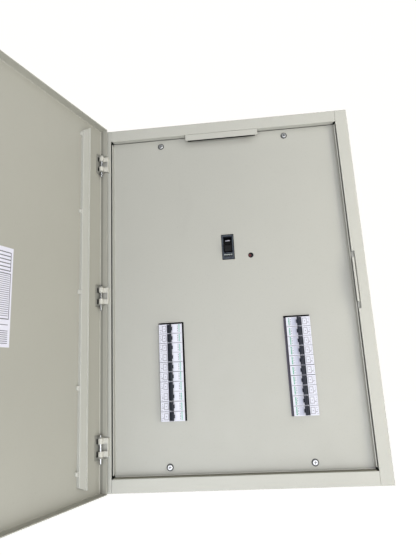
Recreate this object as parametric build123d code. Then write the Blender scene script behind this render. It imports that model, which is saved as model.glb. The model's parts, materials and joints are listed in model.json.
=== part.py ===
"""Wall-mounted residential load center with its door swung open.

Millimetres, X to the right, Y into the wall, Z up.
The origin is the centre of the wall-fixing holes, on the back face (y = 0 is the wall).
Every export is one named piece, or one set of identical pieces.
"""
import os

from build123d import *

os.makedirs("parts", exist_ok=True)

# ---- enclosure ----
BOX_W = 520.0
BOX_H = 719.0
BOX_D = 120.0
SHEET = 1.5
STILE = 24.0
RAIL = 24.0
SIDE_LIP = 8.0
RAIL_LIP = 12.0
FLANGE = 3.2
FRONT = -BOX_D
OPEN_X = BOX_W / 2 - STILE
OPEN_Z = BOX_H / 2 - RAIL
HOLE_X = 190.0
HOLE_Z = 290.0
HOLE_R = 4.0

# ---- dead front ----
PLATE_Y = FRONT + 14.0
TRAY_X = 234.0
TRAY_Z = 335.2
SCREW_X = 130.4
SCREW_Z = 320.6
WINDOW_X = 120.8
WINDOW_W = 49.4
WINDOW_TOP = -57.0
WINDOW_BOTTOM = -241.0

# ---- branch breakers ----
MODULE = 18.0
CASE_T = 17.7
COLUMN_TOP = -60.6
LEFT_X = -121.3
RIGHT_X = 122.8
NOSE_W = 45.0
NOSE_FACE = FRONT + 6.5
SHOULDER = FRONT + 25.0
BODY_W = 84.0
CASE_BACK = -45.5
TOGGLE_EDGE = 20.2
TOGGLE_SINK = 2.6
DRUM_R = 3.9
SWING = 25.0
LEFT_POLES = (1, 1, 2, 1, 1, 2, 1, 1)
RIGHT_POLES = (1,) * 10

# ---- main breaker ----
MAIN_X = -0.6
MAIN_Z = 88.0
MAIN_W = 100.0
MAIN_H = 130.0
MAIN_FACE = FRONT + 22.0
MAIN_NOSE = FRONT + 13.0
MAIN_PIVOT_Y = MAIN_NOSE + 14.0
MAIN_PIVOT_Z = 92.6
MAIN_TILT = 24.0
TRIP_X = 41.8
TRIP_Z = 69.0
POLE_PITCH = 30.0

# ---- mounting pan and bus ----
PAN_Y = -42.0
PAN_T = 2.0
RAIL_FACE = -49.5
BAR_W = 15.0
BAR_T = 3.0
BAR_LAYERS = (-60.0, -68.0, -76.0)

# ---- door ----
DOOR_GAP = 3.2
PAN_DEPTH = 15.8
DOOR_EDGE = FRONT - DOOR_GAP
DOOR_INNER = DOOR_EDGE - PAN_DEPTH
DOOR_OUTER = DOOR_INNER - SHEET
PIN_X = -252.4
PIN_Y = FRONT - 12.1
PIN_R = 2.5
DOOR_OPEN = 109.35
HINGE_Z = (279.0, 0.0, -279.0)
ARM_IN = 6.5
ARM_OUT = 16.0
NOTCH_Z = 19.5
LATCH_X = 214.0
LATCH_Z = 2.0
CARD_X = (-38.7, 174.0)
CARD_Z = (-107.2, 45.4)
CARD_T = 0.4


def block(x0, x1, y0, y1, z0, z1):
    """Box between two opposite corners."""
    size = Box(x1 - x0, y1 - y0, z1 - z0)
    return Pos((x0 + x1) / 2, (y0 + y1) / 2, (z0 + z1) / 2) * size


def rod_x(y, z, r, x0, x1):
    """Round bar along X."""
    return Pos((x0 + x1) / 2, y, z) * Rot(0, 90, 0) * Cylinder(r, x1 - x0)


def rod_y(x, z, r, y0, y1):
    """Round bar along Y."""
    return Pos(x, (y0 + y1) / 2, z) * Rot(90, 0, 0) * Cylinder(r, y1 - y0)


def rod_z(x, y, r, z0, z1):
    """Round bar along Z."""
    return Pos(x, y, (z0 + z1) / 2) * Cylinder(r, z1 - z0)


def hex_y(x, z, across, y0, y1):
    """Hexagonal bar along Y."""
    flat = RegularPolygon(across / 2, 6, major_radius=False)
    return Pos(x, y0, z) * Rot(-90, 0, 0) * extrude(flat, y1 - y0)


def swing_open(shape):
    """Turn a piece of the closed door about the hinge pins to the open pose."""
    axis = Axis((PIN_X, PIN_Y, 0), (0, 0, 1))
    return shape.rotate(axis, -DOOR_OPEN)


def group(shapes):
    """Gather the solids of several identical pieces."""
    return Compound([solid for shape in shapes for solid in shape.solids()])


def save(name, shape):
    """Write one piece."""
    export_step(shape, f"parts/{name}.step")


# ---------------------------------------------------------------- enclosure
def build_wrap():
    """Back, two sides and the two front stiles, folded from one sheet."""
    outer = Pos(0, -BOX_D / 2) * RectangleRounded(BOX_W, BOX_D, 2.0)
    inner = Pos(0, -BOX_D / 2) * Rectangle(BOX_W - 2 * SHEET, BOX_D - 2 * SHEET)
    mouth = Pos(0, FRONT) * Rectangle(2 * OPEN_X, 12)
    profile = outer - inner - mouth
    for side in (-1, 1):
        lip = Pos(side * (OPEN_X + SHEET / 2), FRONT + SIDE_LIP / 2) * Rectangle(SHEET, SIDE_LIP)
        profile += lip
    wrap = Pos(0, 0, -BOX_H / 2) * extrude(profile, BOX_H)
    for side in (-1, 1):
        for end in (-1, 1):
            x = side * (OPEN_X + SHEET / 2)
            low, high = sorted((end * (OPEN_Z - 3), end * (BOX_H / 2 + 1)))
            wrap -= block(x - 1, x + 1, FRONT + SHEET, FRONT + SIDE_LIP + 1, low, high)
            wrap -= rod_y(side * HOLE_X, end * HOLE_Z, HOLE_R, -SHEET - 1, 1)
    wrap -= block(OPEN_X - 1, OPEN_X + 5, FRONT - 1, FRONT + SIDE_LIP + 1, -52.5, 58.7)
    return wrap


def build_top(knockouts):
    """Top wall with its front rail, folded lip, rear flange and ringed knockouts."""
    top = BOX_H / 2
    half = OPEN_X - 0.4
    inside = BOX_W / 2 - SHEET - 0.1
    end = block(-inside, inside, FRONT + SHEET, -SHEET, top - SHEET, top)
    end += block(-half, half, FRONT, FRONT + SHEET, OPEN_Z, top)
    end += block(-half + 3, half - 3, FRONT, FRONT + RAIL_LIP, OPEN_Z, OPEN_Z + SHEET)
    end += block(-inside, inside, -2 * SHEET, -SHEET, top - 18, top)
    bends = end.edges().filter_by(Axis.X).sort_by(Axis.Y)[:4]
    end = fillet(bends, 0.7)
    for x, radius in knockouts:
        for ring in (radius, radius - 5):
            end -= rod_z(x, -58, ring, top - 0.7, top) - rod_z(x, -58, ring - 0.8, top - 0.7, top)
    return end


def build_bottom(top_end):
    """Mirror image of the top wall, its lip turned up behind the opening to hold the dead front."""
    flange = block(
        -OPEN_X + 4, OPEN_X - 4, FRONT + RAIL_LIP - SHEET, FRONT + RAIL_LIP,
        -OPEN_Z - SHEET / 2, -OPEN_Z + FLANGE,
    )
    return top_end.mirror(Plane.XY) + flange


def build_catch_bar():
    """Long catch folded from strip, welded under the lip of the top rail."""
    top = OPEN_Z - 1.0
    bar = block(-75.5, 75.5, FRONT - 0.5, FRONT + 1.0, top - 12.6, top)
    corners = bar.edges().filter_by(Axis.Y).sort_by(Axis.Z)[:2]
    bar = fillet(corners, 3.0)
    bar += block(-75.5, 75.5, FRONT + 1.0, FRONT + 11.0, top - 1.5, top)
    for x in (-60, 0, 60):
        bar += block(x - 8, x + 8, FRONT + 6.0, FRONT + 10.0, top, top + 1.0)
    return bar


def build_keeper():
    """Hooked keeper for the door latch: hook, floor of the notch and leg behind the right stile."""
    low, high = LATCH_Z - 42.3, LATCH_Z + 42.8
    web = OPEN_X
    leg = OPEN_X + 15.0
    floor_y = FRONT + 6.0
    keeper = block(web, web + SHEET, FRONT - 5.0, floor_y + SHEET, low, high)
    keeper += block(web - 2.4, web + SHEET, FRONT - 6.5, FRONT - 5.0, low, high)
    keeper += block(web, leg, floor_y, floor_y + SHEET, -52.2, 58.4)
    keeper += block(web + SHEET + 0.3, leg, floor_y, floor_y + SHEET, -60.0, 66.0)
    keeper += block(leg - SHEET, leg, FRONT + SHEET, floor_y + SHEET, -60.0, 66.0)
    tips = keeper.edges().filter_by(Axis.Z).sort_by(Axis.Y)[:2]
    return fillet(tips, 0.6)


# ---------------------------------------------------------------- hinges
def build_frame_leaf(z):
    """Frame half of a hinge: foot, web and two rolled eyes."""
    eye_r = PIN_R + 2.0
    leaf = block(PIN_X, PIN_X + 13.4, FRONT - 2.0, FRONT, z - ARM_OUT, z + ARM_OUT)
    web_x = PIN_X + 11.4
    leaf += block(web_x, web_x + 2.0, PIN_Y + 2.5, FRONT, z - ARM_OUT, z + ARM_OUT)
    for low, high in ((z + ARM_IN, z + ARM_OUT), (z - ARM_OUT, z - ARM_IN)):
        leaf += block(PIN_X, web_x + 2.0, PIN_Y + 2.5, PIN_Y + eye_r, low, high)
        leaf += rod_z(PIN_X, PIN_Y, eye_r, low, high)
    return leaf - rod_z(PIN_X, PIN_Y, PIN_R, z - ARM_OUT - 1, z + ARM_OUT + 1)


def build_pin(z):
    """Hinge pin with a tapered top and a rounded tail."""
    pin = rod_z(PIN_X, PIN_Y, PIN_R, z - 29.0, z + 19.0)
    tail = pin.edges().sort_by(Axis.Z)[0]
    pin = fillet(tail, 1.6)
    tip = Pos(PIN_X, PIN_Y, z + 19.0 + 1.75) * Cone(PIN_R, 1.0, 3.5)
    return pin + tip


def build_door_leaf(z):
    """Door half of a hinge, closed pose: plate with windows for the eyes and two ears."""
    x0 = -BOX_W / 2 + SHEET + 2.1
    leaf = block(x0, PIN_X + 8.4, DOOR_INNER, DOOR_INNER + 2.0, z - 22.0, z + 22.0)
    for side in (-1, 1):
        low, high = sorted((z + side * 6.0, z + side * 16.4))
        leaf -= block(x0 + 1.2, PIN_X + 6.0, DOOR_INNER - 1, DOOR_INNER + 3, low, high)
        low, high = sorted((z + side * 16.4, z + side * 18.4))
        leaf += block(PIN_X - 5.0, PIN_X + 5.0, DOOR_INNER + 1, PIN_Y, low, high)
        leaf += rod_z(PIN_X, PIN_Y, 5.0, low, high)
    return leaf - rod_z(PIN_X, PIN_Y, PIN_R + 0.08, z - 30, z + 30)


# ---------------------------------------------------------------- door
def build_door_pan():
    """Door sheet with four folded edges, closed pose, notched for the hinges."""
    outer = block(-BOX_W / 2, BOX_W / 2, DOOR_OUTER, DOOR_EDGE, -BOX_H / 2, BOX_H / 2)
    rim = outer.faces().sort_by(Axis.Y)[0].edges()
    outer = fillet(rim, 3.5)
    inner = block(
        -BOX_W / 2 + SHEET, BOX_W / 2 - SHEET, DOOR_INNER, DOOR_EDGE + 1,
        -BOX_H / 2 + SHEET, BOX_H / 2 - SHEET,
    )
    floor = inner.faces().sort_by(Axis.Y)[0].edges()
    pan = outer - fillet(floor, 2.0)
    for z in HINGE_Z:
        x = -BOX_W / 2
        pan -= block(x - 1, x + SHEET + 0.2, DOOR_INNER + 2.0, DOOR_EDGE + 1, z - NOTCH_Z, z + NOTCH_Z)
    return pan - rod_y(LATCH_X, LATCH_Z, 9.2, DOOR_OUTER - 1, DOOR_INNER + 1)


def build_stiffener():
    """Channel welded along the hinge side of the door, with five folded scallops."""
    x0, x1 = -215.0, -196.0
    depth = 6.0
    low, high = -342.0, 344.0
    channel = block(x0, x1, DOOR_INNER, DOOR_INNER + depth, low, high)
    channel = fillet(channel.faces().sort_by(Axis.Y)[-1].edges().filter_by(Axis.Z), 1.2)
    channel -= block(x0 + 1.2, x1 - 1.2, DOOR_INNER - 1, DOOR_INNER + depth - 1.2, low - 1, high + 1)
    channel += block(x0, x0 + 1.4, DOOR_INNER + 3, DOOR_INNER + depth + 2.2, low, high)
    for z in (322.0, 158.0, 0.0, -172.0, -313.0):
        scallop = rod_z(x1 + 1.6, DOOR_INNER + 1.0, 3.2, z - 3.5, z + 3.5)
        channel += scallop & block(x1 - 0.5, x1 + 6, DOOR_INNER, DOOR_INNER + 6, z - 4, z + 4)
    for end, slope, z0, z1 in ((high, 36.4, 0, 30), (low, -21.3, -30, 0)):
        beyond = block(-5, 60, DOOR_INNER - 1, DOOR_INNER + 12, z0, z1)
        channel -= Pos(x0, 0, end) * Rot(0, slope, 0) * beyond
    return channel


def build_latch():
    """Quarter-turn latch of the door, closed pose: case, nut, knob, cam and cam screw."""
    case = rod_y(LATCH_X, LATCH_Z, 9.0, DOOR_OUTER - 1.0, DOOR_INNER + 14.3)
    case += rod_y(LATCH_X, LATCH_Z, 14.0, DOOR_OUTER - 3.0, DOOR_OUTER)
    case -= rod_y(LATCH_X, LATCH_Z, 5.05, DOOR_OUTER - 4.0, DOOR_INNER + 16.0)
    nut = hex_y(LATCH_X, LATCH_Z, 24.0, DOOR_INNER, DOOR_INNER + 4.0)
    nut -= rod_y(LATCH_X, LATCH_Z, 9.0, DOOR_INNER - 1, DOOR_INNER + 5.0)
    cam_y = DOOR_INNER + 14.6
    knob = rod_y(LATCH_X, LATCH_Z, 5.0, DOOR_OUTER - 3.3, cam_y)
    grip_y = DOOR_OUTER - 3.3
    grip = block(LATCH_X - 4.0, LATCH_X + 4.0, grip_y - 11.7, grip_y, LATCH_Z - 13.0, LATCH_Z + 13.0)
    knob += fillet(grip.edges().filter_by(Axis.Y), 3.0)
    cam = block(LATCH_X - 6.0, LATCH_X + 6.0, cam_y, cam_y + 2.0, LATCH_Z - 8.0, LATCH_Z + 21.2)
    cam = fillet(cam.edges().filter_by(Axis.Y), 3.0)
    cam -= rod_y(LATCH_X, LATCH_Z, 2.0, cam_y - 1, cam_y + 3)
    screw = rod_y(LATCH_X, LATCH_Z, 2.0, cam_y - 6.0, cam_y + 2.0)
    screw += rod_y(LATCH_X, LATCH_Z, 3.6, cam_y + 2.0, cam_y + 3.6)
    knob -= rod_y(LATCH_X, LATCH_Z, 2.0, cam_y - 6.0, cam_y)
    return case, nut, knob, cam, screw


# ---------------------------------------------------------------- dead front
def build_dead_front():
    """Plate with windows for the breakers and forward-folded sides."""
    depth = SHEET + 11.5
    back_y = PLATE_Y + SHEET
    outer = Pos(0, back_y - depth) * RectangleRounded(2 * TRAY_X, 2 * depth, 3.5)
    inner = Pos(0, back_y - depth - SHEET) * RectangleRounded(2 * TRAY_X - 2 * SHEET, 2 * depth, 2.0)
    behind = Pos(0, back_y - 2 * depth) * Rectangle(600, 2 * depth)
    plate = Pos(0, 0, -TRAY_Z) * extrude(outer - inner - behind, 2 * TRAY_Z)
    for end in (-1, 1):
        low, high = sorted((end * (TRAY_Z - 5.5), end * (TRAY_Z + 1)))
        plate -= block(-TRAY_X - 1, TRAY_X + 1, FRONT, PLATE_Y - 0.1, low, high)
        for side in (-1, 1):
            plate -= rod_y(side * SCREW_X, end * SCREW_Z, 2.8, PLATE_Y - 1, PLATE_Y + 3)
    for side in (-1, 1):
        x = side * WINDOW_X
        half = WINDOW_W / 2
        plate -= block(x - half, x + half, PLATE_Y - 1, PLATE_Y + 3, WINDOW_BOTTOM, WINDOW_TOP)
    plate -= block(MAIN_X - 12.5, MAIN_X + 12.5, PLATE_Y - 1, PLATE_Y + 3, 61.8, 114.2)
    return plate - rod_y(43.7, 67.8, 5.4, PLATE_Y - 1, PLATE_Y + 3)


def build_cover_screw(x, z):
    """Pan-head screw with a cross recess, holding the dead front to its post."""
    head = rod_y(x, z, 5.4, PLATE_Y - 3.2, PLATE_Y)
    rim = head.edges().filter_by(GeomType.CIRCLE).sort_by(Axis.Y)[0]
    screw = fillet(rim, 1.8) + rod_y(x, z, 2.5, PLATE_Y, PLATE_Y + 14.0)
    slot = block(x - 2.7, x + 2.7, PLATE_Y - 4, PLATE_Y - 1.6, z - 0.55, z + 0.55)
    slot += block(x - 0.55, x + 0.55, PLATE_Y - 4, PLATE_Y - 1.6, z - 2.7, z + 2.7)
    return screw - slot


def build_post(x, z):
    """Hexagonal post from the back wall to the dead front, tapped at its front end."""
    post = hex_y(x, z, 10.0, PLATE_Y + SHEET, -SHEET)
    return post - rod_y(x, z, 2.5, PLATE_Y, PLATE_Y + 16.0)


# ---------------------------------------------------------------- branch breakers
def build_case(x, side, top, poles):
    """Breaker case; side -1 sets the outer edge to the left, 1 to the right."""
    height = MODULE * poles
    z = top - height / 2
    half = (height - MODULE + CASE_T) / 2
    low, high = z - half, z + half
    case = block(x - NOSE_W / 2, x + NOSE_W / 2, NOSE_FACE, SHOULDER, low, high)
    rim = case.faces().sort_by(Axis.Y)[0].edges()
    case = fillet(rim, 0.7)
    case += block(x - BODY_W / 2, x + BODY_W / 2, SHOULDER, CASE_BACK, low, high)
    case -= block(x - 17.7, x + 17.7, RAIL_FACE, CASE_BACK + 1, low - 1, high + 1)
    pivot_x = x + side * (NOSE_W / 2 - TOGGLE_EDGE)
    pivot_y = NOSE_FACE + TOGGLE_SINK
    well = half - 0.75
    case -= block(pivot_x - 4.4, pivot_x + 4.4, NOSE_FACE - 1, pivot_y + 4.8, z - well, z + well)
    case -= rod_z(pivot_x, pivot_y, 1.28, low + 0.15, high - 0.15)
    for pole in range(poles):
        pole_z = top - MODULE * (pole + 0.5)
        inner = x - side * BODY_W / 2
        outer = x + side * BODY_W / 2
        for edge, inward in ((inner, side), (outer, -side)):
            near, far = sorted((edge - inward, edge + inward * 8.0))
            case -= block(near, far, -80.5, -54.0, pole_z - 5.5, pole_z + 5.5)
            case -= rod_y(edge + inward * 6.5, pole_z, 3.4, SHOULDER - 1, -80.0)
    return case


def build_toggle(x, side, top, poles):
    """Toggle lever in its rest pose, leaning towards the inner edge of the case."""
    height = MODULE * poles
    z = top - height / 2
    half = (height - MODULE + 15.6) / 2
    pivot_x = x + side * (NOSE_W / 2 - TOGGLE_EDGE)
    pivot_y = NOSE_FACE + TOGGLE_SINK
    drum = rod_z(pivot_x, pivot_y, DRUM_R, z - half, z + half)
    axle = rod_z(pivot_x, pivot_y, 1.2, z - half - 0.6, z + half + 0.6)
    lever = block(pivot_x - 1.7, pivot_x + 1.7, pivot_y - 8.6, pivot_y - 2.5, z - half, z + half)
    lever = fillet(lever.faces().sort_by(Axis.Y)[0].edges().filter_by(Axis.Z), 1.2)
    for pole in range(poles):
        pole_z = top - MODULE * (pole + 0.5)
        near, far = sorted((pivot_x, pivot_x - side * 3.4))
        nose = block(near, far, pivot_y - 8.2, pivot_y - 5.2, pole_z - 3.2, pole_z + 3.2)
        lever += nose
    lever = lever.rotate(Axis((pivot_x, pivot_y, 0), (0, 0, 1)), -side * SWING)
    return drum + axle + lever


def column_tops(poles):
    """Top height of every breaker in a column."""
    tops = []
    used = 0
    for count in poles:
        tops.append(COLUMN_TOP - MODULE * used)
        used += count
    return tops


# ---------------------------------------------------------------- main breaker
def build_main():
    """Main breaker: base and cover, with the toggle well and six terminal pockets."""
    x0, x1 = MAIN_X - MAIN_W / 2, MAIN_X + MAIN_W / 2
    z0, z1 = MAIN_Z - MAIN_H / 2, MAIN_Z + MAIN_H / 2
    split = -74.0
    base = block(x0, x1, split, PAN_Y, z0, z1)
    cover = block(x0, x1, MAIN_FACE, split, z0, z1)
    cover = fillet(cover.faces().sort_by(Axis.Y)[0].edges(), 1.5)
    nose = block(MAIN_X - 12.0, MAIN_X + 11.4, MAIN_NOSE, MAIN_FACE, 62.6, 112.8)
    cover += fillet(nose.faces().sort_by(Axis.Y)[0].edges(), 0.8)
    for x in pole_places():
        for end in (-1, 1):
            edge = MAIN_Z + end * MAIN_H / 2
            near, far = sorted((edge - end * 15.0, edge + end))
            base -= block(x - 10, x + 10, split - 1, -54.0, near, far)
            cover -= block(x - 10, x + 10, -82.0, split + 1, near, far)
            cover -= rod_y(x, edge - end * 7.5, 4.6, MAIN_FACE - 1, -81.0)
    cover -= block(MAIN_X - 8.6, MAIN_X + 8.6, MAIN_NOSE - 1, split + 1, 76.3, 109.0)
    base -= block(MAIN_X - 8.6, MAIN_X + 8.6, split - 1, split + 2.0, 76.3, 109.0)
    cover -= rod_x(MAIN_PIVOT_Y, MAIN_PIVOT_Z, 2.07, MAIN_X - 11.0, MAIN_X + 11.0)
    cover -= rod_y(TRIP_X, TRIP_Z, 2.9, MAIN_FACE - 1, MAIN_FACE + 9.0)
    return base, cover


def pole_places():
    """Three pole centres of the main breaker."""
    return [MAIN_X + POLE_PITCH * step for step in (-1, 0, 1)]


def build_main_toggle():
    """Main toggle in its rest pose, handle down."""
    drum = rod_x(MAIN_PIVOT_Y, MAIN_PIVOT_Z, 14.4, MAIN_X - 8.2, MAIN_X + 8.2)
    drum &= block(MAIN_X - 9, MAIN_X + 9, MAIN_NOSE - 2, MAIN_PIVOT_Y + 3.5, 60, 125)
    handle = block(
        MAIN_X - 6.6, MAIN_X + 6.6, MAIN_PIVOT_Y - 27.0, MAIN_PIVOT_Y - 8.0,
        MAIN_PIVOT_Z - 6.4, MAIN_PIVOT_Z + 6.4,
    )
    handle = fillet(handle.faces().sort_by(Axis.Y)[0].edges(), 1.2)
    tilt = Axis((0, MAIN_PIVOT_Y, MAIN_PIVOT_Z), (1, 0, 0))
    toggle = (drum + handle).rotate(tilt, MAIN_TILT)
    toggle += rod_x(MAIN_PIVOT_Y, MAIN_PIVOT_Z, 2.0, MAIN_X - 10.6, MAIN_X + 10.6)
    return toggle


def build_trip_button():
    """Push-to-trip button of the main breaker."""
    button = rod_y(TRIP_X, TRIP_Z, 2.8, MAIN_FACE - 3.0, MAIN_FACE + 5.0)
    rim = button.edges().filter_by(GeomType.CIRCLE).sort_by(Axis.Y)[0]
    return fillet(rim, 0.5)


def build_terminal_screw(x, z, head_r, head_y, shank_end):
    """Slotted screw seen from the front."""
    screw = rod_y(x, z, head_r, head_y, head_y + 3.0)
    screw -= block(x - head_r, x + head_r, head_y - 1, head_y + 1.2, z - 0.6, z + 0.6)
    return screw + rod_y(x, z, head_r * 0.55, head_y + 3.0, shank_end)


# ---------------------------------------------------------------- bus and bars
def phase_of(slot):
    """Phase bar feeding a pole position, counted from the top."""
    return slot % 3


def build_bus(phase):
    """One phase bar with its branch fingers to both columns."""
    x = pole_places()[phase]
    y = BAR_LAYERS[phase]
    top = MAIN_Z - MAIN_H / 2 + 13.0
    bar = block(x - BAR_W / 2, x + BAR_W / 2, y, y + BAR_T, -250.0, top)
    for slot in range(10):
        if phase_of(slot) == phase:
            z = COLUMN_TOP - MODULE * (slot + 0.5)
            bar += block(LEFT_X + BODY_W / 2 - 6, x, y, y + BAR_T, z - 4, z + 4)
            bar += block(x, RIGHT_X - BODY_W / 2 + 6, y, y + BAR_T, z - 4, z + 4)
    z = MAIN_Z - MAIN_H / 2 + 7.5
    return bar - rod_y(x, z, 2.2, y - 1, y + BAR_T + 1)


def build_support(z):
    """Insulating block carrying the three phase bars."""
    support = block(MAIN_X - 42, MAIN_X + 42, -80.0, PAN_Y, z - 4, z + 4)
    for phase in range(3):
        x = pole_places()[phase]
        y = BAR_LAYERS[phase]
        support -= block(x - BAR_W / 2, x + BAR_W / 2, -81.0, y + BAR_T, z - 5, z + 5)
    return support


def build_terminal_bar(x0, x1, z):
    """Brass terminal bar with cross holes for conductors and tapped screw holes."""
    bar = block(x0, x1, -46.0, -36.0, z - 5, z + 5)
    for x in bar_screw_places(x0, x1):
        bar -= rod_z(x, -41.0, 2.6, z - 6, z + 6)
        bar -= rod_y(x, z, 2.2, -47.0, -41.0)
    return bar


def bar_screw_places(x0, x1):
    """Screw positions along a terminal bar."""
    count = 12
    pitch = (x1 - x0 - 12.0) / (count - 1)
    return [x0 + 6.0 + pitch * step for step in range(count)]


def build_bar_screw(x, z):
    """Terminal bar screw."""
    screw = rod_y(x, z, 3.2, -49.0, -46.0) + rod_y(x, z, 2.2, -46.0, -43.0)
    return screw - block(x - 4, x + 4, -50.0, -48.0, z - 0.5, z + 0.5)


# ---------------------------------------------------------------- write pieces
save("enclosure_wrap", build_wrap())
top_end = build_top([(-180, 17), (-90, 14), (0, 22), (90, 14), (180, 17)])
save("top_end", top_end)
save("bottom_end", build_bottom(top_end))
save("top_catch_bar", build_catch_bar())
save("latch_keeper", build_keeper())

save("frame_hinge_leaves", group([build_frame_leaf(z) for z in HINGE_Z]))
save("hinge_pins", group([build_pin(z) for z in HINGE_Z]))
save("door_hinge_leaves", group([swing_open(build_door_leaf(z)) for z in HINGE_Z]))

save("door_pan", swing_open(build_door_pan()))
save("door_stiffener", swing_open(build_stiffener()))
card = block(*CARD_X, DOOR_INNER, DOOR_INNER + CARD_T, *CARD_Z)
save("circuit_card", swing_open(card))
latch_pieces = build_latch()
latch_names = ("latch_case", "latch_nut", "latch_knob", "latch_cam", "latch_cam_screw")
for name, piece in zip(latch_names, latch_pieces):
    save(name, swing_open(piece))

corners = [(side * SCREW_X, end * SCREW_Z) for side in (-1, 1) for end in (-1, 1)]
save("dead_front", build_dead_front())
save("dead_front_screws", group([build_cover_screw(x, z) for x, z in corners]))
save("cover_posts", group([build_post(x, z) for x, z in corners]))

pan = block(-170, 170, PAN_Y, PAN_Y + PAN_T, -285, 165)
pan += block(-170, -168, PAN_Y, PAN_Y + 12, -285, 165)
pan += block(168, 170, PAN_Y, PAN_Y + 12, -285, 165)
pan_corners = [(side * 155, z) for side in (-1, 1) for z in (-270, 150)]
for x, z in pan_corners:
    pan -= rod_y(x, z, 3.0, PAN_Y - 1, PAN_Y + PAN_T + 1)
save("mounting_pan", pan)
spacers = []
pan_screws = []
for x, z in pan_corners:
    spacer = hex_y(x, z, 12.0, PAN_Y + PAN_T, -SHEET)
    spacers.append(spacer - rod_y(x, z, 2.5, PAN_Y + 1, PAN_Y + 16))
    pan_screws.append(rod_y(x, z, 5.0, PAN_Y - 3, PAN_Y) + rod_y(x, z, 2.5, PAN_Y, PAN_Y + 14))
save("pan_spacers", group(spacers))
save("pan_screws", group(pan_screws))

din_rails = []
for x in (LEFT_X, RIGHT_X):
    hat = Pos(x, (RAIL_FACE + PAN_Y) / 2) * Rectangle(27, PAN_Y - RAIL_FACE)
    hat += Pos(x, RAIL_FACE + 0.5) * Rectangle(35, 1)
    hollow = Pos(x, (RAIL_FACE + PAN_Y) / 2 - 1) * Rectangle(25, PAN_Y - RAIL_FACE)
    din_rails.append(Pos(0, 0, -262) * extrude(hat - hollow, 222))
save("din_rails", group(din_rails))

columns = (("left", LEFT_X, -1, LEFT_POLES), ("right", RIGHT_X, 1, RIGHT_POLES))
for label, x, side, poles in columns:
    tops = column_tops(poles)
    for count, size in ((1, "single"), (2, "double")):
        cases = [build_case(x, side, top, n) for top, n in zip(tops, poles) if n == count]
        if cases:
            save(f"{label}_{size}_pole_cases", group(cases))
    for number, (top, n) in enumerate(zip(tops, poles), start=1):
        save(f"toggle_{label}_{number}", build_toggle(x, side, top, n))

main_base, main_cover = build_main()
save("main_base", main_base)
save("main_cover", main_cover)
save("main_toggle", build_main_toggle())
save("trip_button", build_trip_button())

lugs = []
lug_screws = []
for x in pole_places():
    z = MAIN_Z + MAIN_H / 2 - 7.5
    lug = block(x - 7.5, x + 7.5, -68.0, -58.0, z - 6, z + 6)
    lugs.append(lug - rod_y(x, z, 2.2, -69.0, -57.0) - rod_z(x, -61.5, 2.0, z - 7, z + 7))
    lug_screws.append(build_terminal_screw(x, z, 4.0, -71.0, -63.6))
save("line_lugs", group(lugs))
save("line_lug_screws", group(lug_screws))
for phase in range(3):
    save(f"phase_bar_{phase + 1}", build_bus(phase))
bus_screws = []
for x, y in zip(pole_places(), BAR_LAYERS):
    z = MAIN_Z - MAIN_H / 2 + 7.5
    bus_screws.append(build_terminal_screw(x, z, 4.0, y - 3.0, y + BAR_T))
save("bus_screws", group(bus_screws))
save("bus_supports", group([build_support(z) for z in (-10.0, -246.0)]))

bars = {"neutral_bar": (-160.0, -12.0), "earth_bar": (12.0, 160.0)}
feet = []
bar_screws = []
for name, (x0, x1) in bars.items():
    z = -303.0
    save(name, build_terminal_bar(x0, x1, z))
    for x in (x0 + 12.6, x1 - 12.6):
        feet.append(block(x - 5, x + 5, -36.0, -SHEET, z - 5, z + 5))
    bar_screws += [build_bar_screw(x, z) for x in bar_screw_places(x0, x1)]
save("bar_feet", group(feet))
save("bar_screws", group(bar_screws))
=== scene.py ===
"""Looks of the wall-mounted load center, its door swung open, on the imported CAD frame.

X to the right, Y into the wall, Z up. The frame, lights and camera are in metres; the mesh helpers
take millimetres.
"""
import json
import random
from math import cos, pi, radians, sin

import bmesh
import bpy
from mathutils import Matrix, Vector


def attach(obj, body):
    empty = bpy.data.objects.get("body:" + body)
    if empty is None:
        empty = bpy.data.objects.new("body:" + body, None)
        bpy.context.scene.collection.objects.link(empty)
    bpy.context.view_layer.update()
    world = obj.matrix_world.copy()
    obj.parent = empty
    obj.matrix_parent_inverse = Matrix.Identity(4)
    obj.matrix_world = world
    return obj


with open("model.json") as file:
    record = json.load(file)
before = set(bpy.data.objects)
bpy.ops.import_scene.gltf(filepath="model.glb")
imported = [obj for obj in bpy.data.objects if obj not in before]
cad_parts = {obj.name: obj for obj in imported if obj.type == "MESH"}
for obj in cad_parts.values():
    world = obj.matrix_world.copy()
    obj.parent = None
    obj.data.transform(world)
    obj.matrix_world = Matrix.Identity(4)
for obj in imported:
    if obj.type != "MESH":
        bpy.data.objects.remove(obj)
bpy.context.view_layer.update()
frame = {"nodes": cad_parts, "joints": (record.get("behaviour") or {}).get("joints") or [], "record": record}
NODES = frame["nodes"]
JOINTS = {joint["name"]: joint for joint in frame["joints"]}
MM = 0.001
random.seed(7)


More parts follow.
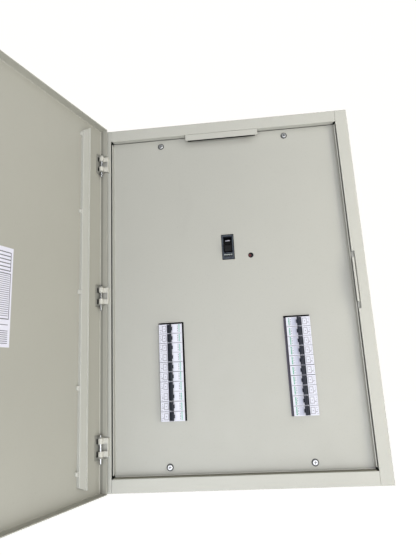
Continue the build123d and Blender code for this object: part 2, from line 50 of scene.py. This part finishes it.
# ---------------------------------------------------------------- materials
class Shader:
    """One node material with short helpers for wiring it."""

    def __init__(self, name, roughness, metallic=0.0, specular=0.5):
        self.material = bpy.data.materials.new(name)
        self.material.use_nodes = True
        self.tree = self.material.node_tree
        self.tree.nodes.clear()
        self.out = self.tree.nodes.new("ShaderNodeOutputMaterial")
        self.bsdf = self.tree.nodes.new("ShaderNodeBsdfPrincipled")
        self.link(self.bsdf.outputs[0], self.out.inputs["Surface"])
        self.bsdf.inputs["Roughness"].default_value = roughness
        self.bsdf.inputs["Metallic"].default_value = metallic
        self.bsdf.inputs["Specular IOR Level"].default_value = specular
        self.place = self.tree.nodes.new("ShaderNodeTexCoord").outputs["Object"]

    def link(self, source, target):
        self.tree.links.new(source, target)

    def stretched(self, scale):
        """Object coordinates stretched along the axes."""
        mapping = self.tree.nodes.new("ShaderNodeMapping")
        mapping.inputs["Scale"].default_value = scale
        self.link(self.place, mapping.inputs["Vector"])
        return mapping.outputs[0]

    def noise(self, scale, detail=2.0, vector=None):
        node = self.tree.nodes.new("ShaderNodeTexNoise")
        node.inputs["Scale"].default_value = scale
        node.inputs["Detail"].default_value = detail
        self.link(vector or self.place, node.inputs["Vector"])
        return node.outputs["Fac"]

    def spread(self, value, low, high, to_low, to_high):
        """Maps a range of values onto another, clamped."""
        node = self.tree.nodes.new("ShaderNodeMapRange")
        node.inputs["From Min"].default_value = low
        node.inputs["From Max"].default_value = high
        node.inputs["To Min"].default_value = to_low
        node.inputs["To Max"].default_value = to_high
        self.link(value, node.inputs["Value"])
        return node.outputs["Result"]

    def mix(self, factor, first, second):
        """Colour mix; each side is a colour or an output."""
        node = self.tree.nodes.new("ShaderNodeMix")
        node.data_type = "RGBA"
        self.link(factor, node.inputs["Factor"])
        sides = [s for s in node.inputs if s.type == "RGBA"]
        for value, socket in zip((first, second), sides):
            if isinstance(value, tuple):
                socket.default_value = (*value, 1.0)
            else:
                self.link(value, socket)
        return [s for s in node.outputs if s.type == "RGBA"][0]

    def edges(self, radius):
        """1 on an edge and 0 on a flat, with the normal that rounds the edge."""
        bevel = self.tree.nodes.new("ShaderNodeBevel")
        bevel.samples = 4
        bevel.inputs["Radius"].default_value = radius
        geometry = self.tree.nodes.new("ShaderNodeNewGeometry")
        dot = self.tree.nodes.new("ShaderNodeVectorMath")
        dot.operation = "DOT_PRODUCT"
        self.link(bevel.outputs[0], dot.inputs[0])
        self.link(geometry.outputs["Normal"], dot.inputs[1])
        return self.spread(dot.outputs["Value"], 0.995, 0.86, 0.0, 1.0), bevel.outputs[0]

    def bump(self, height, distance, strength=1.0, normal=None):
        node = self.tree.nodes.new("ShaderNodeBump")
        node.inputs["Strength"].default_value = strength
        node.inputs["Distance"].default_value = distance
        self.link(height, node.inputs["Height"])
        if normal is not None:
            self.link(normal, node.inputs["Normal"])
        return node.outputs[0]

    def colour(self, value):
        self.link(value, self.bsdf.inputs["Base Color"])

    def rough(self, value):
        self.link(value, self.bsdf.inputs["Roughness"])

    def normal(self, value):
        self.link(value, self.bsdf.inputs["Normal"])


def tone(colour, factor):
    """A darker or lighter version of a colour."""
    return tuple(min(1.0, c * factor) for c in colour)


def paint(name, colour, roughness=0.42, edge=1.25):
    """Powder coat: fine orange peel, soft mottling, handling marks, and edges lightened partly as wear and
    partly as a painted highlight.
    """
    s = Shader(name, roughness, specular=0.45)
    mottled = s.mix(s.noise(5.0, 3.0), tone(colour, 0.955), tone(colour, 1.045))
    speckled = s.mix(s.spread(s.noise(420.0, 2.0), 0.62, 0.72, 0.0, 0.5), mottled, tone(colour, 0.9))
    rubs = s.spread(s.noise(16.0, 6.0, s.stretched((1.0, 1.0, 0.35))), 0.66, 0.78, 0.0, 0.3)
    rubbed = s.mix(rubs, speckled, tone(colour, 0.88))
    edge_mask, soft_normal = s.edges(0.0007)
    # edges lighter: partly worn paint, partly a painted highlight along edges and bends
    worn_and_highlit = s.mix(edge_mask, rubbed, tone(colour, edge))
    s.colour(worn_and_highlit)
    s.rough(s.spread(s.noise(30.0, 4.0), 0.3, 0.7, roughness - 0.07, roughness + 0.09))
    s.normal(s.bump(s.noise(750.0, 2.0), 0.00006, 0.6, soft_normal))
    return s.material


def metal(name, colour, roughness, grain=(1.0, 1.0, 1.0), metallic=0.9):
    """Plated or bare metal: drawn grain, dull patches, and edges brightened partly as wear and partly as a
    painted highlight.
    """
    s = Shader(name, roughness, metallic, 0.5)
    patchy = s.mix(s.noise(60.0, 4.0), tone(colour, 0.8), tone(colour, 1.1))
    edge_mask, soft_normal = s.edges(0.0004)
    # edges brightened: partly wear, partly a painted highlight
    s.colour(s.mix(edge_mask, patchy, tone(colour, 1.3)))
    lines = s.noise(500.0, 3.0, s.stretched(grain))
    s.rough(s.spread(lines, 0.3, 0.7, roughness - 0.1, roughness + 0.12))
    s.normal(s.bump(lines, 0.00004, 0.5, soft_normal))
    return s.material


def spangle(name, colour):
    """Galvanised sheet with its crystal pattern."""
    s = Shader(name, 0.45, 0.75, 0.5)
    cells = s.tree.nodes.new("ShaderNodeTexVoronoi")
    cells.inputs["Scale"].default_value = 90.0
    s.link(s.place, cells.inputs["Vector"])
    grey = s.spread(cells.outputs["Color"], 0.0, 1.0, 0.0, 1.0)
    s.colour(s.mix(grey, tone(colour, 0.75), tone(colour, 1.1)))
    s.rough(s.spread(grey, 0.0, 1.0, 0.35, 0.55))
    s.normal(s.bump(s.noise(300.0, 3.0), 0.00005, 0.4))
    return s.material


def plastic(name, colour, roughness, specular=0.5, edge=1.3, grain=900.0):
    """Moulded plastic: spark-eroded grain, faint flow marks and edges lightened as a painted highlight."""
    s = Shader(name, roughness, 0.0, specular)
    flow = s.mix(s.noise(70.0, 4.0), tone(colour, 0.92), tone(colour, 1.06))
    edge_mask, soft_normal = s.edges(0.0004)
    # edges lightened as a painted highlight
    s.colour(s.mix(edge_mask, flow, tone(colour, edge)))
    s.rough(s.spread(s.noise(120.0, 3.0), 0.3, 0.7, roughness - 0.06, roughness + 0.08))
    s.normal(s.bump(s.noise(grain, 2.0), 0.00003, 0.5, soft_normal))
    return s.material


def paper(name, colour):
    """Card stock with fibres and a slight unevenness."""
    s = Shader(name, 0.7, 0.0, 0.3)
    fibres = s.noise(350.0, 5.0, s.stretched((1.0, 1.0, 3.0)))
    s.colour(s.mix(fibres, tone(colour, 0.95), tone(colour, 1.04)))
    s.rough(s.spread(fibres, 0.3, 0.7, 0.6, 0.8))
    s.normal(s.bump(fibres, 0.00004, 0.5))
    return s.material


def ink(name, colour, roughness=0.55):
    """Printed ink with slightly uneven coverage."""
    s = Shader(name, roughness, 0.0, 0.4)
    cover = s.noise(1500.0, 3.0)
    s.colour(s.mix(cover, tone(colour, 0.85), tone(colour, 1.15)))
    s.rough(s.spread(cover, 0.3, 0.7, roughness - 0.1, roughness + 0.1))
    s.normal(s.bump(cover, 0.00002, 0.3))
    return s.material


PAINT = (0.364, 0.366, 0.336)
# door coat: warmer than the panel's, and darker as painted shade on the door
DOOR_PAINT = (0.335, 0.332, 0.292)
LOOKS = {
    "paint": paint("powder coat", PAINT),
    # frame coat: a lighter copy of the panel's coat, as painted light on the frame
    "frame_paint": paint("frame powder coat", tone(PAINT, 1.1)),
    "door_paint": paint("door powder coat", DOOR_PAINT),
    # stiffener coat: lighter than the panel's as painted light, its edges lightened further as a painted
    # highlight
    "stiffener_paint": paint("stiffener powder coat", tone(PAINT, 1.1), 0.36, 1.7),
    # hinge leaf steel: a dark finish, darkened further as painted shade around the hinge eyes
    "dark_steel": metal("passivated steel with painted shade", (0.24, 0.24, 0.215), 0.42, (1.0, 1.0, 5.0), 0.2),
    "hinge_paint": paint("hinge coat", (0.47, 0.465, 0.42)),
    "plated_steel": metal("zinc plated steel", (0.38, 0.39, 0.40), 0.2, (1.0, 6.0, 1.0), 1.0),
    "galvanised": spangle("galvanised sheet", (0.5, 0.52, 0.53)),
    "latch_metal": metal("satin chrome", (0.6, 0.61, 0.62), 0.22, (1.0, 1.0, 5.0), 1.0),
    "card": paper("card stock", (0.62, 0.62, 0.7)),
    "breaker_white": plastic("breaker case", (0.56, 0.57, 0.645), 0.4, 0.4, 0.9),
    "toggle_slate": plastic("toggle slate", (0.009, 0.012, 0.022), 0.42, 0.3, 1.6),
    "main_black": plastic("main breaker case", (0.014, 0.017, 0.023), 0.36, 0.4, 2.2),
    "main_toggle_black": plastic("main toggle", (0.002, 0.002, 0.003), 0.5, 0.15, 2.0),
    "trip_red": plastic("trip button", (0.11, 0.012, 0.012), 0.35, 0.5, 1.6),
    "copper": metal("copper bar", (0.62, 0.30, 0.18), 0.35, (1.0, 1.0, 0.15), 1.0),
    "brass": metal("brass bar", (0.62, 0.48, 0.22), 0.33, (0.2, 1.0, 1.0), 1.0),
    "insulator": plastic("insulator", (0.30, 0.07, 0.04), 0.5),
}
for part in frame["record"]["subparts"]:
    node = NODES[part["node"]]
    if not node.data.materials:
        node.data.materials.append(None)
    for place in node.material_slots:
        place.link = "OBJECT"
        place.material = LOOKS[part["material_slot"]]


# ---------------------------------------------------------------- small mesh pieces
def slab(mesh, x0, x1, y0, y1, z0, z1, soft=0.0):
    """Closed block in millimetres; soft narrows the face towards -Y like a moulded edge."""
    corners = []
    for y, inset in ((y0, soft), (y1, 0.0)):
        for x, z in ((x0 + inset, z0 + inset), (x1 - inset, z0 + inset),
                     (x1 - inset, z1 - inset), (x0 + inset, z1 - inset)):
            corners.append(mesh.verts.new((x * MM, y * MM, z * MM)))
    front, back = corners[:4], corners[4:]
    mesh.faces.new(front)
    mesh.faces.new(back[::-1])
    for step in range(4):
        after = (step + 1) % 4
        mesh.faces.new((front[after], front[step], back[step], back[after]))


def rounded(mesh, radius):
    """Rounds every edge of the mesh data, in millimetres."""
    bmesh.ops.bevel(mesh, geom=mesh.edges[:], offset=radius * MM, segments=3, profile=0.5, affect="EDGES")
    return mesh


def piece(name, mesh, material, body):
    """Finished object from mesh data, riding on a body."""
    bmesh.ops.recalc_face_normals(mesh, faces=mesh.faces)
    data = bpy.data.meshes.new(name)
    mesh.to_mesh(data)
    mesh.free()
    data.materials.append(material)
    obj = bpy.data.objects.new(name, data)
    bpy.context.scene.collection.objects.link(obj)
    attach(obj, body)
    return obj


def opened(mesh):
    """Turns mesh data of the closed door about the hinge to the open pose."""
    hinge = JOINTS["door_hinge"]
    pin = Vector(hinge["pos_m"])
    turn = Matrix.Rotation(-radians(hinge["range_deg"][1]), 4, "Z")
    about_pin = Matrix.Translation(pin) @ turn @ Matrix.Translation(-pin)
    bmesh.ops.transform(mesh, matrix=about_pin, verts=mesh.verts)
    return mesh


# ---------------------------------------------------------------- circuit card print
CARD_FACE = -138.6
RULE = ink("ruled line", (0.13, 0.13, 0.15))
RULE_PALE = ink("fine ruled line", (0.24, 0.24, 0.27))


def rule(mesh, x0, x1, z, width):
    """Ruled line across the card."""
    slab(mesh, x0, x1, CARD_FACE - 0.05, CARD_FACE + 0.04, z - width / 2, z + width / 2)


TABLE_TOP = 4.2
TABLE_BOTTOM = -65.2
HEAD_TOP = 37.6
HEAD_BOTTOM = 9.0
CARD_LEFT = -35.0
CARD_RIGHT = 168.5
RULE_RIGHT = 166.0
HEAD_PITCH = 5.75
FOOT_TOP = -83.0
FOOT_PITCH = 3.05
FINE_TOP = 0.8
FINE_PITCH = 3.22

bold = bmesh.new()
for step in range(6):
    rule(bold, CARD_LEFT, RULE_RIGHT, HEAD_TOP - HEAD_PITCH * step, 1.7)
for z in (TABLE_TOP, TABLE_BOTTOM):
    rule(bold, CARD_LEFT - 0.5, CARD_RIGHT, z, 1.7)
for x, low, high in (
    (CARD_LEFT, TABLE_BOTTOM, TABLE_TOP),
    (CARD_RIGHT, TABLE_BOTTOM, TABLE_TOP),
    (CARD_LEFT + 0.4, HEAD_BOTTOM, HEAD_TOP),
):
    slab(bold, x - 0.6, x + 0.6, CARD_FACE - 0.05, CARD_FACE + 0.04, low, high)
for step in range(7):
    rule(bold, CARD_LEFT + 0.6, RULE_RIGHT, FOOT_TOP - FOOT_PITCH * step, 1.2)
rule(bold, CARD_LEFT + 0.6, RULE_RIGHT, -73.9, 1.1)
piece("card_rules", opened(bold), RULE, "door")

fine = bmesh.new()
for step in range(20):
    rule(fine, CARD_LEFT + 1.4, 164.0, FINE_TOP - FINE_PITCH * step, 1.3)
piece("card_fine_rules", opened(fine), RULE_PALE, "door")


# ---------------------------------------------------------------- breaker print
FACE = -113.5
MODULE = 18.0
FACE_INNER = 44.6
FACE_MARGIN = 0.4
COLUMN_TOP = -60.6
MARK = ink("grey print", (0.22, 0.215, 0.25))
MARK_DARK = ink("dark print", (0.10, 0.10, 0.13))
TEAL = ink("green print", (0.075, 0.31, 0.20))
TEAL_PALE = ink("pale green print", (0.19, 0.41, 0.35))
PANEL_LEFT = ink("left panel print", (0.62, 0.63, 0.72))
PANEL_RIGHT = ink("right panel print", (0.42, 0.435, 0.53))
# near-black ink for painted shadow lines in joints and screw recesses
SEAM_SHADOW = ink("seam shadow line", (0.055, 0.055, 0.07))


def on_face(mesh, edge, side, u0, u1, z0, z1, lift=0.05):
    """Print on a breaker face; u runs from the outer edge of the face inwards."""
    near, far = sorted((edge - side * u0, edge - side * u1))
    slab(mesh, near, far, FACE - lift, FACE + 0.03, z0, z1)


def print_column(name, edge, side, teal, panel_ink):
    """Markings of ten modules: frame with a pictogram, panel, small type dashes and a broken stripe."""
    grey, dark, green, panel = (bmesh.new() for _ in range(4))
    for index in range(10):
        z = COLUMN_TOP - MODULE * (index + 0.5)
        for low, high in ((z + 4.9, z + 5.9), (z - 6.0, z - 5.0)):
            on_face(grey, edge, side, 6.4, 14.6, low, high)
        on_face(grey, edge, side, 6.4, 7.4, z - 5.0, z + 4.9)
        on_face(grey, edge, side, 13.6, 14.6, z - 5.0, z + 4.9)
        on_face(grey, edge, side, FACE_MARGIN, FACE_INNER, z + 8.3, z + 8.8)
        for step in range(4):
            u = 1.4 + random.uniform(0.0, 1.6)
            low = z - 7.0 + 3.6 * step + random.uniform(0.0, 0.8)
            on_face(grey, edge, side, u, u + random.uniform(1.2, 2.2), low, low + 0.9)
        on_face(dark, edge, side, 9.8, 11.2, z - 0.8, z + 0.8)
        on_face(dark, edge, side, 4.0, 5.0, z - 3.6, z - 1.2)
        on_face(panel, edge, side, 27.0, 35.0, z - 7.4, z + 7.4)
        for low, high in ((-5.6, -3.4), (-1.4, 1.6), (3.2, 5.4)):
            on_face(grey, edge, side, 36.0, 37.2, z + low, z + high)
        low = z - 6.8
        while low < z + 6.0:
            high = low + random.uniform(1.4, 2.4)
            on_face(green, edge, side, 38.4, 40.8, low, high)
            low = high + random.uniform(0.3, 0.8)
    piece(name + "_grey_print", grey, MARK, "enclosure")
    piece(name + "_dark_print", dark, MARK_DARK, "enclosure")
    piece(name + "_stripe_print", green, teal, "enclosure")
    piece(name + "_panel_print", panel, panel_ink, "enclosure")


NOSE = 22.5
LEFT_COLUMN = -121.3
RIGHT_COLUMN = 122.8
print_column("left", LEFT_COLUMN - NOSE, -1, TEAL_PALE, PANEL_LEFT)
print_column("right", RIGHT_COLUMN + NOSE, 1, TEAL, PANEL_RIGHT)

# painted shadow lines in the joints above and below the sixth module
shadow_seams = bmesh.new()
for index in (5, 6):
    z = COLUMN_TOP - MODULE * index
    on_face(shadow_seams, RIGHT_COLUMN + NOSE, 1, FACE_MARGIN, FACE_INNER, z - 0.55, z + 0.55, 0.07)
piece("sixth_module_shadow_seams", shadow_seams, SEAM_SHADOW, "enclosure")


# ---------------------------------------------------------------- painted shade in the dark gaps around the breaker windows
COLUMN_END = COLUMN_TOP - 10 * MODULE
WINDOW_HALF = 24.7
WINDOW_MIDDLE = 120.8
SHADE_BACK = -95.2
SHADE_FRONT = -104.3
SHADE_LIP = -112.6
# black and slate sheets put in the gaps as painted shade; the slate one is the lighter, lit copy
BLACK_PAINTED_SHADE = plastic("black painted shade", (0.004, 0.004, 0.005), 0.7, 0.1)
SLATE_PAINTED_SHADE = plastic("slate painted shade", (0.115, 0.105, 0.135), 0.6, 0.2)


def window_painted_shade(name, column, middle, side, material):
    """Painted shade filling the slot beside a breaker column, its lip up the side of the cases."""
    nose = column + side * (NOSE + 0.06)
    far = middle + side * (WINDOW_HALF + 2.0)
    mesh = bmesh.new()
    slab(mesh, min(nose, far), max(nose, far), SHADE_FRONT, SHADE_BACK, COLUMN_END, COLUMN_TOP)
    near, lip = sorted((nose, nose + side * 0.7))
    slab(mesh, near, lip, SHADE_LIP, SHADE_FRONT, COLUMN_END + 0.4, COLUMN_TOP - 0.4, 0.2)
    piece(name, mesh, material, "enclosure")


def top_painted_shade(name, column, middle):
    """Black painted shade between the window's top edge and the first case."""
    mesh = bmesh.new()
    low = COLUMN_TOP + 0.02
    x0 = min(column - NOSE, middle - WINDOW_HALF - 2.0)
    x1 = max(column + NOSE, middle + WINDOW_HALF + 2.0)
    slab(mesh, x0, x1, SHADE_FRONT, SHADE_BACK, low, low + 5.0)
    piece(name, mesh, BLACK_PAINTED_SHADE, "enclosure")


window_painted_shade("left_window_painted_shade", LEFT_COLUMN, -WINDOW_MIDDLE, 1, BLACK_PAINTED_SHADE)
window_painted_shade("right_window_painted_shade", RIGHT_COLUMN, WINDOW_MIDDLE, -1, SLATE_PAINTED_SHADE)
top_painted_shade("left_top_painted_shade", LEFT_COLUMN, -WINDOW_MIDDLE)
top_painted_shade("right_top_painted_shade", RIGHT_COLUMN, WINDOW_MIDDLE)


# ---------------------------------------------------------------- painted shade in the edge gaps and along the door's fold
FRONT = -120.0
OPENING_LEFT = -236.0
SHADE_HALF_WIDTH = 233.0
SHADE_HALF_HEIGHT = 333.0
DOOR_HALF_HEIGHT = 357.5
DOOR_FOLD_X = -258.5
HINGE_HEIGHTS = (279.0, 0.0, -279.0)
HINGE_CUT_HALF = 20.5

# black strip as painted shade in the gap at the left edge of the opening
edge_painted_shade = bmesh.new()
slab(edge_painted_shade, OPENING_LEFT + 0.02, OPENING_LEFT + 0.8, FRONT + 1.4, FRONT + 11.6,
     -SHADE_HALF_HEIGHT, SHADE_HALF_HEIGHT)
piece("left_edge_painted_shade", rounded(edge_painted_shade, 0.3), BLACK_PAINTED_SHADE, "enclosure")

# olive strip as painted shade on the bottom lip, in the gap below the dead front
bottom_painted_shade = bmesh.new()
slab(bottom_painted_shade, -SHADE_HALF_WIDTH, SHADE_HALF_WIDTH, FRONT + 1.2, FRONT + 11.5, -335.45, -334.0)
OLIVE_PAINTED_SHADE = plastic("bottom painted shade", (0.17, 0.168, 0.135), 0.7, 0.1)
piece("bottom_edge_painted_shade", rounded(bottom_painted_shade, 0.5), OLIVE_PAINTED_SHADE, "enclosure")

# darker copy of the door coat as painted shade in the door's hinge-side fold, broken at the hinges
FOLD_SHADE_COAT = paint("door fold painted shade coat", tone(DOOR_PAINT, 0.66))
cuts = [height + side * HINGE_CUT_HALF for height in HINGE_HEIGHTS for side in (-1, 1)]
stops = sorted([-DOOR_HALF_HEIGHT, *cuts, DOOR_HALF_HEIGHT])
fold_shade = bmesh.new()
for low, high in zip(stops[::2], stops[1::2]):
    slab(fold_shade, DOOR_FOLD_X - 0.02, DOOR_FOLD_X + 0.06, -137.4, -132.2, low, high)
piece("door_fold_painted_shade", opened(fold_shade), FOLD_SHADE_COAT, "door")

# near-black ink as painted shade in the hinge leaf windows
RECESS = ink("hinge window shade", (0.035, 0.035, 0.03))
recess = bmesh.new()
for middle in HINGE_HEIGHTS:
    for low, high in ((middle + 6.2, middle + 16.2), (middle - 16.2, middle - 6.2)):
        slab(recess, -255.1, -246.6, -139.0, -138.9, low, high)
piece("hinge_window_shades", opened(recess), RECESS, "door")

# black strip as painted shade in the gap at the catch bar
painted_shade_strip = bmesh.new()
slab(painted_shade_strip, -71.0, 70.0, FRONT + 1.0, FRONT + 2.6, 320.2, 322.8)
piece("catch_bar_painted_shade_strip", rounded(painted_shade_strip, 0.5), BLACK_PAINTED_SHADE, "enclosure")


# ---------------------------------------------------------------- dark rings around the cover screws, and painted shade in their cross recesses
PLATE_FACE = -106.0
COVER_SCREW_X = 130.4
COVER_SCREW_Z = 320.6
CROSS_FRONT = -108.6
CROSS_BACK = -107.62
CROSS_REACH = 2.6
CROSS_HALF_WIDTH = 0.5


def ring(mesh, x, z, inner, outer, y0, y1, steps=32):
    """Flat ring around an axis along Y."""
    rows = []
    for radius, y in ((inner, y0), (outer, y0), (outer, y1), (inner, y1)):
        rows.append([
            mesh.verts.new(((x + radius * cos(2 * pi * step / steps)) * MM, y * MM,
                            (z + radius * sin(2 * pi * step / steps)) * MM))
            for step in range(steps)
        ])
    for row, after in zip(rows, rows[1:] + rows[:1]):
        for step in range(steps):
            following = (step + 1) % steps
            mesh.faces.new((row[step], row[following], after[following], after[step]))


# dark rings on the plate around the screw heads; the crosses are painted shade at the bottom of the recesses
dark_rings, cross_shades = bmesh.new(), bmesh.new()
for x in (-COVER_SCREW_X, COVER_SCREW_X):
    for z in (-COVER_SCREW_Z, COVER_SCREW_Z):
        ring(dark_rings, x, z, 4.9, 6.5, PLATE_FACE - 0.5, PLATE_FACE - 0.02)
        slab(cross_shades, x - CROSS_REACH, x + CROSS_REACH, CROSS_FRONT, CROSS_BACK,
             z - CROSS_HALF_WIDTH, z + CROSS_HALF_WIDTH)
        slab(cross_shades, x - CROSS_HALF_WIDTH, x + CROSS_HALF_WIDTH, CROSS_FRONT - 0.02, CROSS_BACK - 0.02,
             z - CROSS_REACH, z + CROSS_REACH)
piece("screw_dark_rings", dark_rings, LOOKS["main_black"], "enclosure")
piece("screw_cross_painted_shade", cross_shades, SEAM_SHADOW, "enclosure")


# ---------------------------------------------------------------- main breaker trim
LIP = plastic("escutcheon lip", (0.036, 0.046, 0.062), 0.3, 0.5, 1.8)
PALE = ink("pale print", (0.42, 0.46, 0.45))
WHITE = plastic("indicator bar", (0.62, 0.62, 0.72), 0.4)
LIP_LOW = 63.0
LIP_HIGH = 112.4
WELL_LEFT = -9.3
WELL_RIGHT = 7.9
lip = bmesh.new()
for x0, x1, z0, z1 in (
    (-12.2, WELL_LEFT, LIP_LOW, LIP_HIGH),
    (WELL_RIGHT, 10.4, LIP_LOW, LIP_HIGH),
    (WELL_LEFT, WELL_RIGHT, 109.2, LIP_HIGH),
    (WELL_LEFT, WELL_RIGHT, LIP_LOW, 66.4),
    (WELL_LEFT, WELL_RIGHT, 74.2, 76.2),
):
    slab(lip, x0, x1, -107.8, -106.95, z0, z1, 0.6)
piece("escutcheon_lip", lip, LIP, "enclosure")
DASH_START = -8.6
DASH_PITCH = 2.3
DASH_LENGTH = 1.7
stripe = bmesh.new()
for step in range(7):
    start = DASH_START + DASH_PITCH * step
    low = 70.8 + 0.5 * (step % 2)
    high = 73.0 - 0.4 * (step % 3)
    slab(stripe, start, start + DASH_LENGTH, -107.06, -106.97, low, high)
piece("escutcheon_stripe", stripe, PALE, "enclosure")

PIVOT_Y = -93.0
PIVOT_Z = 92.6
BAR_ANGLE = 36.0
bar = bmesh.new()
slab(bar, -4.9, 3.7, PIVOT_Y - 14.75, PIVOT_Y - 14.3, 91.5, 93.7, 0.3)
pivot = Vector((0.0, PIVOT_Y, PIVOT_Z)) * MM
tip = Matrix.Rotation(radians(-BAR_ANGLE), 4, "X")
about_pivot = Matrix.Translation(pivot) @ tip @ Matrix.Translation(-pivot)
bmesh.ops.transform(bar, matrix=about_pivot, verts=bar.verts)
piece("indicator_bar", bar, WHITE, "main_toggle")


# ---------------------------------------------------------------- studio
def flat(name, colour, glow=0.0):
    """Matt studio surface with a faint unevenness."""
    s = Shader(name, 0.85, 0.0, 0.2)
    s.colour(s.mix(s.noise(3.0, 3.0), tone(colour, 0.985), tone(colour, 1.0)))
    s.rough(s.spread(s.noise(40.0, 3.0), 0.3, 0.7, 0.8, 0.9))
    if glow:
        s.bsdf.inputs["Emission Color"].default_value = (1.0, 1.0, 1.0, 1.0)
        s.bsdf.inputs["Emission Strength"].default_value = glow
    return s.material


FLOOR_HALF = 9000
FLOOR_TOP = -800
floor_mesh = bmesh.new()
slab(floor_mesh, -FLOOR_HALF, FLOOR_HALF, -FLOOR_HALF, FLOOR_HALF, FLOOR_TOP - 20, FLOOR_TOP)
floor_data = bpy.data.meshes.new("studio_floor")
floor_mesh.to_mesh(floor_data)
floor_mesh.free()
floor_data.materials.append(flat("floor", (0.86, 0.86, 0.86), 0.62))
floor = bpy.data.objects.new("studio_floor", floor_data)
bpy.context.scene.collection.objects.link(floor)

world = bpy.data.worlds.new("studio")
bpy.context.scene.world = world
world.use_nodes = True
WORLD_BACK = 1.04
WORLD_FRONT_LOW = 0.45
WORLD_FRONT_HIGH = 0.25
sky = world.node_tree
backdrop = sky.nodes["Background"]
backdrop.inputs["Color"].default_value = (1.0, 0.985, 0.955, 1.0)
towards = sky.nodes.new("ShaderNodeSeparateXYZ")
sky.links.new(sky.nodes.new("ShaderNodeTexCoord").outputs["Generated"], towards.inputs[0])


def ramp(value, start, end, low, high):
    """Smooth step of the studio's brightness with direction."""
    step = sky.nodes.new("ShaderNodeMapRange")
    step.interpolation_type = "SMOOTHSTEP"
    step.inputs["From Min"].default_value = start
    step.inputs["From Max"].default_value = end
    for socket, given in (("To Min", low), ("To Max", high)):
        if isinstance(given, float):
            step.inputs[socket].default_value = given
        else:
            sky.links.new(given, step.inputs[socket])
    sky.links.new(value, step.inputs["Value"])
    return step.outputs["Result"]


front = ramp(towards.outputs["Z"], -0.1, 0.6, WORLD_FRONT_LOW, WORLD_FRONT_HIGH)
glow = ramp(towards.outputs["Y"], 0.25, 0.62, front, WORLD_BACK)
sky.links.new(glow, backdrop.inputs["Strength"])


def soft_light(name, place, aim, size, power, colour=(1.0, 1.0, 1.0)):
    """Rectangular soft box aimed at a point."""
    data = bpy.data.lights.new(name, "AREA")
    data.shape = "RECTANGLE"
    data.size, data.size_y = size
    data.energy = power
    data.color = colour
    light = bpy.data.objects.new(name, data)
    light.visible_camera = False
    light.location = place
    light.rotation_euler = (Vector(aim) - Vector(place)).to_track_quat("-Z", "Y").to_euler()
    bpy.context.scene.collection.objects.link(light)


PANEL_MIDDLE = (0.0, -0.12, -0.05)
soft_light("front soft box", (0.25, -2.2, -0.3), PANEL_MIDDLE, (2.0, 1.2), 25.0, (0.95, 0.95, 1.0))
soft_light("window side", (0.95, -0.75, 0.0), PANEL_MIDDLE, (0.4, 1.2), 5.0, (1.0, 0.94, 0.76))
soft_light("upper right key", (0.75, -0.85, 0.8), PANEL_MIDDLE, (0.25, 0.25), 2.3)
soft_light("ceiling bounce", (0.1, -1.3, 1.0), PANEL_MIDDLE, (1.0, 0.8), 2.0)
soft_light("floor bounce", (-0.22, -0.75, -0.7), (-0.2, -0.12, -0.3), (0.4, 0.3), 1.0, (0.85, 0.95, 1.0))

# ---------------------------------------------------------------- camera
CAMERA_PLACE = (0.02536, -1.00096, -0.16616)
CAMERA_TURN = 4.806
CAMERA_LIFT = 13.38
CAMERA_ROLL = -2.846
camera_data = bpy.data.cameras.new("camera")
camera_data.sensor_width = 36.0
camera_data.lens = 30.05
camera_data.shift_x = 0.0064
camera_data.shift_y = -0.0168
camera_data.clip_start = 0.01
camera_data.clip_end = 60.0
camera = bpy.data.objects.new("camera", camera_data)
turn = Matrix.Rotation(radians(CAMERA_TURN), 4, "Z")
lift = Matrix.Rotation(radians(90.0 + CAMERA_LIFT), 4, "X")
roll = Matrix.Rotation(radians(CAMERA_ROLL), 4, "Z")
camera.matrix_world = Matrix.Translation(CAMERA_PLACE) @ turn @ lift @ roll
bpy.context.scene.collection.objects.link(camera)
bpy.context.scene.camera = camera
bpy.context.scene.view_settings.view_transform = "Standard"
bpy.context.scene.view_settings.look = "None"
